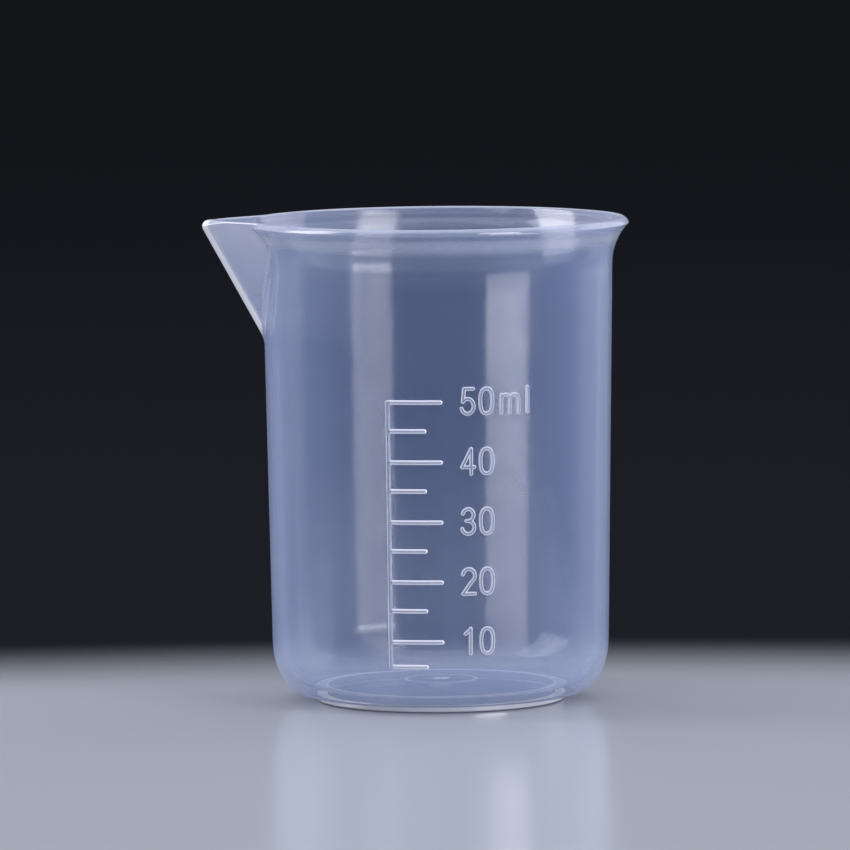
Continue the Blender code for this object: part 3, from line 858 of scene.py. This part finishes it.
# %% Plastic material
def plastic(name, colour, white, haze, gloss, ior):
    """Opacity is a sum of masks, held between 0 and 1. Haze is the mist's opacity face on and edge on,
    and gloss is the range of the roughness."""
    material = bpy.data.materials.new(name)
    material.use_nodes = True
    tree = material.node_tree
    nodes, links = tree.nodes, tree.links
    shader = nodes["Principled BSDF"]
    shader.inputs["IOR"].default_value = ior
    moulded = nodes.new("ShaderNodeGroup")
    moulded.node_tree = surface
    moulded.inputs["Smoothest"].default_value = gloss[0]
    moulded.inputs["Roughest"].default_value = gloss[1]
    moulded.inputs["Cloud Haze"].default_value = CLOUD_HAZE
    moulded.inputs["Speck Haze"].default_value = SPECK_HAZE
    bump = nodes.new("ShaderNodeBump")
    bump.inputs["Strength"].default_value = BUMP_STRENGTH
    bump.inputs["Distance"].default_value = BUMP_DISTANCE
    links.new(moulded.outputs["Height"], bump.inputs["Height"])
    links.new(bump.outputs["Normal"], shader.inputs["Normal"])
    layer = nodes.new("ShaderNodeLayerWeight")
    layer.inputs["Blend"].default_value = 0.5
    facing = layer.outputs["Facing"]
    thick_and_painted_light = nodes.new("ShaderNodeAttribute")
    thick_and_painted_light.attribute_name = "extra"
    links.new(moulded.outputs["Roughness"], shader.inputs["Roughness"])
    slant = span(tree, facing, 0, 1, *haze)
    outline = span(tree, facing, *OUTLINE, 0, OUTLINE_HAZE)
    edge = join(tree, "ADD", outline, span(tree, facing, *RIM, 0, RIM_HAZE))
    # The kept number: thickness, plus painted highlights and painted shade.
    thick = span(tree, thick_and_painted_light.outputs["Fac"], -1, 1, -THICK_AND_PAINTED_HAZE, THICK_AND_PAINTED_HAZE)
    worn = moulded.outputs["Specks"]
    denser = join(tree, "ADD", edge, join(tree, "ADD", thick, worn))
    opacity = join(tree, "ADD", join(tree, "ADD", slant, moulded.outputs["Cloud"]), denser, True)
    links.new(opacity, shader.inputs["Alpha"])
    paler = join(tree, "MAXIMUM", worn, span(tree, facing, 0, 1, 0, SLANT_WHITE))
    whiteness = join(tree, "ADD", thick_and_painted_light.outputs["Fac"], paler, True)
    links.new(mix_colours(tree, whiteness, colour, white), shader.inputs["Base Color"])
    return material


# %% Two finishes of the plastic
vessel_plastic = plastic(
    "misty_plastic",
    colour=(0.255, 0.34, 0.60),
    white=(0.93, 0.93, 0.98),
    haze=(0.147, 0.44),
    gloss=(0.09, 0.17),
    ior=3.0,
)
marks_plastic = plastic(
    "misty_plastic_of_marks",
    colour=(0.42, 0.48, 0.7),
    white=(0.92, 0.92, 0.98),
    haze=(0.08, 0.4),
    gloss=(0.32, 0.42),
    ior=1.7,
)
vessel.data.materials.append(vessel_plastic)
for obj in [scale, *figures.values()]:
    obj.data.materials.append(marks_plastic)
print("finishes:", vessel_plastic.name, "and", marks_plastic.name)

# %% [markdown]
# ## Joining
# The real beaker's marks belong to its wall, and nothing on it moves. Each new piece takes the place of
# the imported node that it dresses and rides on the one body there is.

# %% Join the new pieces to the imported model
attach(vessel, "root")
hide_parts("vessel")
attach(scale, "root")
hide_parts("graduation_scale")
for node, obj in figures.items():
    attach(obj, "root")
    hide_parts(node)
print("pieces joined:", 2 + len(figures))

# %% [markdown]
# ## Table
# Mist shows only before something darker than itself, and a beaker needs something to stand on that
# keeps its shadow. A white sweep all round would be the plainest stage, but the wall vanishes before
# it. So the beaker stands on a plain pale table, slightly glossy, with a painted pool of light: its
# colour is pale round a point in front of the beaker and painted dark slate further off.

# %% Table
scene = bpy.context.scene
scene.view_settings.view_transform = "Standard"
scene.cycles.transparent_max_bounces = 32
TABLE_HALF, TABLE_LEVEL = 3, -0.0001
PALE, PAINTED_SHADE_SLATE = (0.42, 0.44, 0.48), (0.012, 0.013, 0.017)
FADE_START, FADE_END = 0.11, 0.17
FADE_SHIFT, FADE_STRETCH = (0, 0.1, 0), (0.6, 1, 1)
TABLE_ROUGHNESS, TABLE_GLOSS = 0.2, 0.08

floor_mesh = bpy.data.meshes.new("table")
corners = np.array([(-1, -1), (1, -1), (1, 1), (-1, 1)]) * TABLE_HALF
floor_mesh.from_pydata([(x, y, TABLE_LEVEL) for x, y in corners.tolist()], [], [(0, 1, 2, 3)])
table = bpy.data.objects.new("table", floor_mesh)
scene.collection.objects.link(table)
table_with_painted_pool = bpy.data.materials.new("table")
table_with_painted_pool.use_nodes = True
tree = table_with_painted_pool.node_tree
table_shader = tree.nodes["Principled BSDF"]
table_shader.inputs["Roughness"].default_value = TABLE_ROUGHNESS
table_shader.inputs["Specular IOR Level"].default_value = TABLE_GLOSS
place = tree.nodes.new("ShaderNodeTexCoord")
centre = tree.nodes.new("ShaderNodeMapping")
centre.inputs["Location"].default_value = FADE_SHIFT
centre.inputs["Scale"].default_value = FADE_STRETCH
tree.links.new(place.outputs["Object"], centre.inputs["Vector"])
length = tree.nodes.new("ShaderNodeVectorMath")
length.operation = "LENGTH"
tree.links.new(centre.outputs["Vector"], length.inputs[0])
# Painted pool of light: pale near the beaker, painted dark where lamp light would fall off.
light_pool_falloff = span(tree, length.outputs["Value"], FADE_START, FADE_END, 0, 1)
light_pool_falloff.node.interpolation_type = "SMOOTHSTEP"
tree.links.new(mix_colours(tree, light_pool_falloff, PALE, PAINTED_SHADE_SLATE), table_shader.inputs["Base Color"])
floor_mesh.materials.append(table_with_painted_pool)
print("table fades from", FADE_START, "to", FADE_END, "m around a point in front of the beaker")

# %% [markdown]
# ## World
# The studio around the beaker gives soft light from all sides and is dark itself. One world can't be
# both, so the Light Path node picks: camera, glossy and transmission rays see dark slate, and all other
# rays find soft, slightly bluish light. Then highlights come from the lamps alone.

# %% World
STUDIO_LIGHT, STUDIO_STRENGTH = (0.75, 0.8, 0.9), 0.75
BACKDROP = (0.010, 0.011, 0.014)

world = bpy.data.worlds.new("studio")
scene.world = world
world.use_nodes = True
tree = world.node_tree
background = tree.nodes["Background"]
background.inputs["Color"].default_value = (*STUDIO_LIGHT, 1)
background.inputs["Strength"].default_value = STUDIO_STRENGTH
seen = tree.nodes.new("ShaderNodeBackground")
seen.inputs["Color"].default_value = (*BACKDROP, 1)
path = tree.nodes.new("ShaderNodeLightPath")
shown = join(tree, "MAXIMUM", path.outputs["Is Camera Ray"], path.outputs["Is Glossy Ray"])
shown = join(tree, "MAXIMUM", shown, path.outputs["Is Transmission Ray"])
blend = tree.nodes.new("ShaderNodeMixShader")
tree.links.new(shown, blend.inputs["Fac"])
tree.links.new(background.outputs["Background"], blend.inputs[1])
tree.links.new(seen.outputs["Background"], blend.inputs[2])
tree.links.new(blend.outputs["Shader"], tree.nodes["World Output"].inputs["Surface"])
print("world strength", STUDIO_STRENGTH)

# %% [markdown]
# ## Lamps
# The real beaker's two long highlights are softboxes at its sides, mirrored in the inner wall. The
# camera looks down a little, so the upright wall sends its glance down to the table, which passes it on
# to the lowest part of a lamp. That is why the lamps reach nearly down to the table. The low right one
# stands further off, so that the table doesn't mirror it towards cameras that look from higher up. Two
# dim boxes behind lift the outline. The last one is hung flat over the table and lights it from above.


# %% Softbox
LAMP_COLOUR = (0.95, 0.94, 1)


def softbox(name, direction, away, bottom, top, width, brightness):
    """An upright rectangular lamp that looks at the beaker's axis. Its direction is in degrees from the
    camera's side, its lengths are in metres, and its power is brightness times pi times its area."""
    lamp = bpy.data.lights.new(name, "AREA")
    lamp.shape = "RECTANGLE"
    lamp.size, lamp.size_y = width, top - bottom
    lamp.energy = brightness * math.pi * width * (top - bottom)
    lamp.color = LAMP_COLOUR
    obj = bpy.data.objects.new(name, lamp)
    turn = math.radians(direction)
    height = (bottom + top) / 2
    spot = Vector((math.sin(turn), -math.cos(turn), 0)) * away + Vector((0, 0, height))
    aim = Vector((AXIS_X * MM, 0, height)) - spot
    obj.matrix_world = Matrix.Translation(spot) @ aim.to_track_quat("-Z", "Y").to_matrix().to_4x4()
    obj.visible_camera = False
    scene.collection.objects.link(obj)
    return obj


# %% Lamps
TOP_BOX_PLACE = (0, 0.15, 0.7)
LAMPS = [
    ("right_low_box", 47, 1.5, 0.02, 0.21, 0.79, 11.2),
    ("right_high_box", 47, 0.7, 0.2, 0.95, 0.37, 2.9),
    ("left_box", -95, 0.7, 0.12, 0.6, 0.38, 4.2),
    ("left_high_box", -95, 0.7, 0.6, 0.95, 0.38, 4.0),
    ("left_back_box", -130, 0.7, 0.02, 0.6, 0.6, 0.6),
    ("right_back_box", 130, 0.7, 0.0, 0.6, 0.6, 1.0),
    ("top_box", 0, 0.7, 0.0, 1.0, 1.0, 0.9),
]
lamps = {values[0]: softbox(*values) for values in LAMPS}
lamps["top_box"].matrix_world = Matrix.Translation(TOP_BOX_PLACE)
print("lamps:", ", ".join(lamps))
